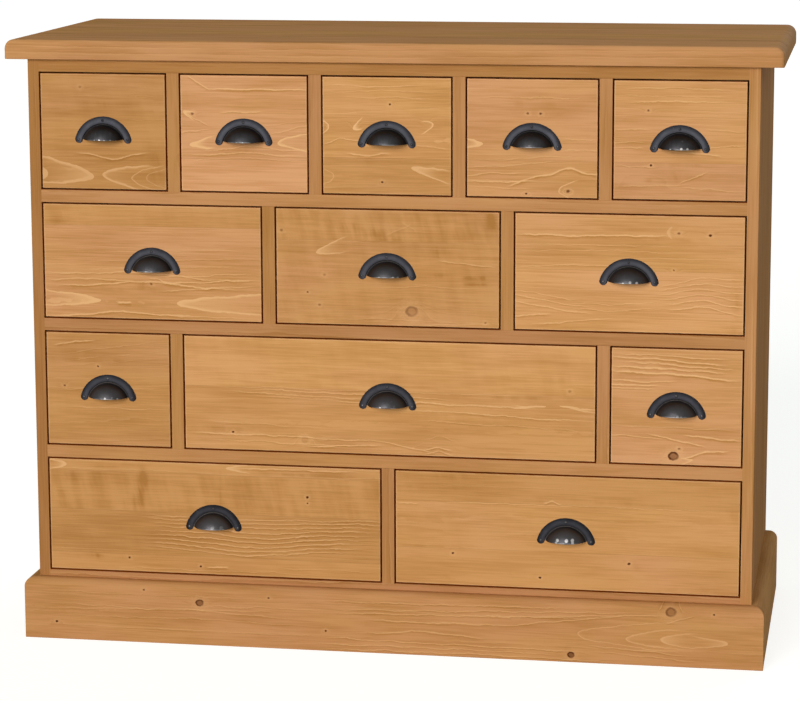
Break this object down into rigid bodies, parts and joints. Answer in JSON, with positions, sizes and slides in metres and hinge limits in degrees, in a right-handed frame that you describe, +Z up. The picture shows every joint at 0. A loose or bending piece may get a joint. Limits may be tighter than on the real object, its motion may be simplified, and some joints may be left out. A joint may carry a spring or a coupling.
{
  "type": "chest of drawers",
  "caption": "Wide free-standing pine chest of drawers, with inset drawers in rows, iron cup pulls, an overhanging top and a plinth.",
  "frame": {"origin": "on the floor, under the middle of the bounding box of the closed chest", "axes": "+X to the right along the width, +Y from the drawer fronts to the back, +Z up"},
  "size_m": [1.22, 0.5107, 0.969],
  "materials": {
    "pine_fronts": "honey-coloured waxed pine, satin",
    "pine_rails": "honey-coloured waxed pine, satin, a little darker",
    "pine_uprights": "honey-coloured waxed pine, upright grain, satin",
    "pine_top": "honey-coloured waxed pine, satin",
    "pine_sides": "honey-coloured waxed pine, upright grain, satin",
    "pine_plinth": "honey-coloured waxed pine with knots, satin",
    "pine_back": "unwaxed pine, matt",
    "pine_inside": "bare sawn pine, matt",
    "pine_drawer_box": "bare planed pine, matt",
    "cast_iron": "graphite black cast iron, waxed, worn bright at the lip",
    "screw_steel": "plain steel wood screws"
  },
  "bodies": {
    "carcass": {"top_panel": "pine_top", "side_panel_left": "pine_sides", "side_panel_right": "pine_sides", "top_front_rail": "pine_rails", "rail_below_row1": "pine_rails", "rail_below_row2": "pine_rails", "rail_below_row3": "pine_rails", "bottom_rail": "pine_rails", "drawer_dividers": "pine_uprights", "rear_rails": "pine_inside", "drawer_runners": "pine_inside", "drawer_guides": "pine_inside", "drawer_stops": "pine_inside", "back_boards": "pine_back", "top_screws": "screw_steel", "plinth_front": "pine_plinth", "plinth_left": "pine_plinth", "plinth_right": "pine_plinth", "plinth_rear": "pine_inside", "corner_blocks": "pine_inside"},
    "row1_drawer1": {"row1_drawer1_front": "pine_fronts", "row1_drawer1_box": "pine_drawer_box", "row1_drawer1_pull": "cast_iron"},
    "row1_drawer2": {"row1_drawer2_front": "pine_fronts", "row1_drawer2_box": "pine_drawer_box", "row1_drawer2_pull": "cast_iron"},
    "row1_drawer3": {"row1_drawer3_front": "pine_fronts", "row1_drawer3_box": "pine_drawer_box", "row1_drawer3_pull": "cast_iron"},
    "row1_drawer4": {"row1_drawer4_front": "pine_fronts", "row1_drawer4_box": "pine_drawer_box", "row1_drawer4_pull": "cast_iron"},
    "row1_drawer5": {"row1_drawer5_front": "pine_fronts", "row1_drawer5_box": "pine_drawer_box", "row1_drawer5_pull": "cast_iron"},
    "row2_drawer1": {"row2_drawer1_front": "pine_fronts", "row2_drawer1_box": "pine_drawer_box", "row2_drawer1_pull": "cast_iron"},
    "row2_drawer2": {"row2_drawer2_front": "pine_fronts", "row2_drawer2_box": "pine_drawer_box", "row2_drawer2_pull": "cast_iron"},
    "row2_drawer3": {"row2_drawer3_front": "pine_fronts", "row2_drawer3_box": "pine_drawer_box", "row2_drawer3_pull": "cast_iron"},
    "row3_drawer1": {"row3_drawer1_front": "pine_fronts", "row3_drawer1_box": "pine_drawer_box", "row3_drawer1_pull": "cast_iron"},
    "row3_drawer2": {"row3_drawer2_front": "pine_fronts", "row3_drawer2_box": "pine_drawer_box", "row3_drawer2_pull": "cast_iron"},
    "row3_drawer3": {"row3_drawer3_front": "pine_fronts", "row3_drawer3_box": "pine_drawer_box", "row3_drawer3_pull": "cast_iron"},
    "row4_drawer1": {"row4_drawer1_front": "pine_fronts", "row4_drawer1_box": "pine_drawer_box", "row4_drawer1_pull": "cast_iron"},
    "row4_drawer2": {"row4_drawer2_front": "pine_fronts", "row4_drawer2_box": "pine_drawer_box", "row4_drawer2_pull": "cast_iron"}
  },
  "joints": [
    {"name": "row1_drawer1_slide", "type": "slide", "parent": "carcass", "child": "row1_drawer1", "axis": [0, -1, 0], "range_m": [0, 0.32]},
    {"name": "row1_drawer2_slide", "type": "slide", "parent": "carcass", "child": "row1_drawer2", "axis": [0, -1, 0], "range_m": [0, 0.32]},
    {"name": "row1_drawer3_slide", "type": "slide", "parent": "carcass", "child": "row1_drawer3", "axis": [0, -1, 0], "range_m": [0, 0.32]},
    {"name": "row1_drawer4_slide", "type": "slide", "parent": "carcass", "child": "row1_drawer4", "axis": [0, -1, 0], "range_m": [0, 0.32]},
    {"name": "row1_drawer5_slide", "type": "slide", "parent": "carcass", "child": "row1_drawer5", "axis": [0, -1, 0], "range_m": [0, 0.32]},
    {"name": "row2_drawer1_slide", "type": "slide", "parent": "carcass", "child": "row2_drawer1", "axis": [0, -1, 0], "range_m": [0, 0.32]},
    {"name": "row2_drawer2_slide", "type": "slide", "parent": "carcass", "child": "row2_drawer2", "axis": [0, -1, 0], "range_m": [0, 0.32]},
    {"name": "row2_drawer3_slide", "type": "slide", "parent": "carcass", "child": "row2_drawer3", "axis": [0, -1, 0], "range_m": [0, 0.32]},
    {"name": "row3_drawer1_slide", "type": "slide", "parent": "carcass", "child": "row3_drawer1", "axis": [0, -1, 0], "range_m": [0, 0.32]},
    {"name": "row3_drawer2_slide", "type": "slide", "parent": "carcass", "child": "row3_drawer2", "axis": [0, -1, 0], "range_m": [0, 0.32]},
    {"name": "row3_drawer3_slide", "type": "slide", "parent": "carcass", "child": "row3_drawer3", "axis": [0, -1, 0], "range_m": [0, 0.32]},
    {"name": "row4_drawer1_slide", "type": "slide", "parent": "carcass", "child": "row4_drawer1", "axis": [0, -1, 0], "range_m": [0, 0.32]},
    {"name": "row4_drawer2_slide", "type": "slide", "parent": "carcass", "child": "row4_drawer2", "axis": [0, -1, 0], "range_m": [0, 0.32]}
  ]
}
